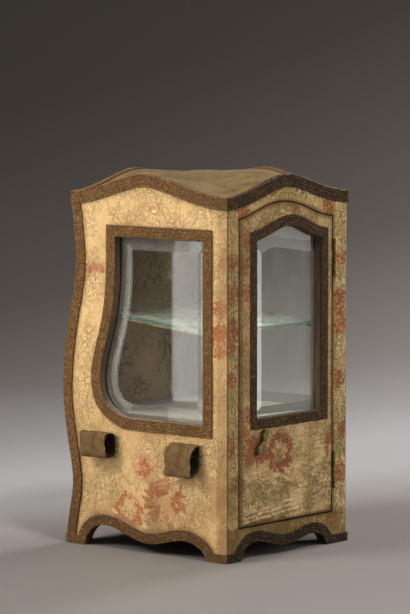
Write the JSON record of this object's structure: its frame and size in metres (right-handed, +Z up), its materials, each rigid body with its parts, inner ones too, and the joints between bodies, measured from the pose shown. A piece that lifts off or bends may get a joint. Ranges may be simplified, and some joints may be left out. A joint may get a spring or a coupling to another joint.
{
  "type": "thimble display case",
  "caption": "Miniature sedan-chair display case: silk-covered wooden carcass edged with galloon, bevelled glass in sides and hinged door, tilted glass shelf, pole loops.",
  "frame": {"origin": "centre of the overall box, on the surface that the case stands on", "axes": "+Z up, the door faces -Y, +X is to the right of someone who faces the door"},
  "size_m": [0.1906, 0.1842, 0.3165],
  "materials": {
    "wood": "plain light hardwood, unvarnished under the silk",
    "brocade": "aged cream silk brocade with a floral weave",
    "plain_silk": "faded plain silk",
    "galloon": "tarnished woven metal braid",
    "glass": "clear plate, ground bevels",
    "brass": "old brass, dulled"
  },
  "bodies": {
    "case": {"left_side_board": "wood", "right_side_board": "wood", "back_board": "wood", "left_front_stile": "wood", "right_front_stile": "wood", "front_header": "wood", "front_apron": "wood", "roof_block": "wood", "bottom_board": "wood", "display_floor": "wood", "floor_cleats": "wood", "corner_blocks": "wood", "left_window_bead": "wood", "right_window_bead": "wood", "left_side_silk": "brocade", "right_side_silk": "brocade", "back_silk": "brocade", "front_silk": "brocade", "back_lining": "brocade", "roof_silk": "plain_silk", "floor_silk": "plain_silk", "left_roof_galloon": "galloon", "right_roof_galloon": "galloon", "front_roof_galloon": "galloon", "back_roof_galloon": "galloon", "left_window_galloon": "galloon", "right_window_galloon": "galloon", "left_back_edge_galloon": "galloon", "right_back_edge_galloon": "galloon", "left_arch_galloon": "galloon", "right_arch_galloon": "galloon", "front_arch_galloon": "galloon", "back_arch_galloon": "galloon", "left_rear_pole_loop": "galloon", "left_front_pole_loop": "galloon", "right_rear_pole_loop": "galloon", "right_front_pole_loop": "galloon", "left_window_glass": "glass", "right_window_glass": "glass", "glass_shelf": "glass", "pole_loop_tacks": "brass", "shelf_rods": "brass", "hinge_frame_leaves": "brass", "hinge_pins": "brass"},
    "door": {"door_frame": "wood", "door_silk": "brocade", "door_glass": "glass", "door_glass_bead": "wood", "door_galloon": "galloon", "hinge_door_leaves": "brass", "latch_rose": "brass"},
    "latch": {"latch_lever": "brass", "latch_spindle": "brass", "latch_tongue": "brass"}
  },
  "joints": [
    {"name": "door_hinge", "type": "hinge", "parent": "case", "child": "door", "pos_m": [0.0607, -0.0883, 0], "axis": [0, 0, 1], "range_deg": [0, 110]},
    {"name": "latch_turn", "type": "hinge", "parent": "door", "child": "latch", "pos_m": [-0.0335, -0.0867, 0.1036], "axis": [0, 1, 0], "range_deg": [0, 90]}
  ]
}
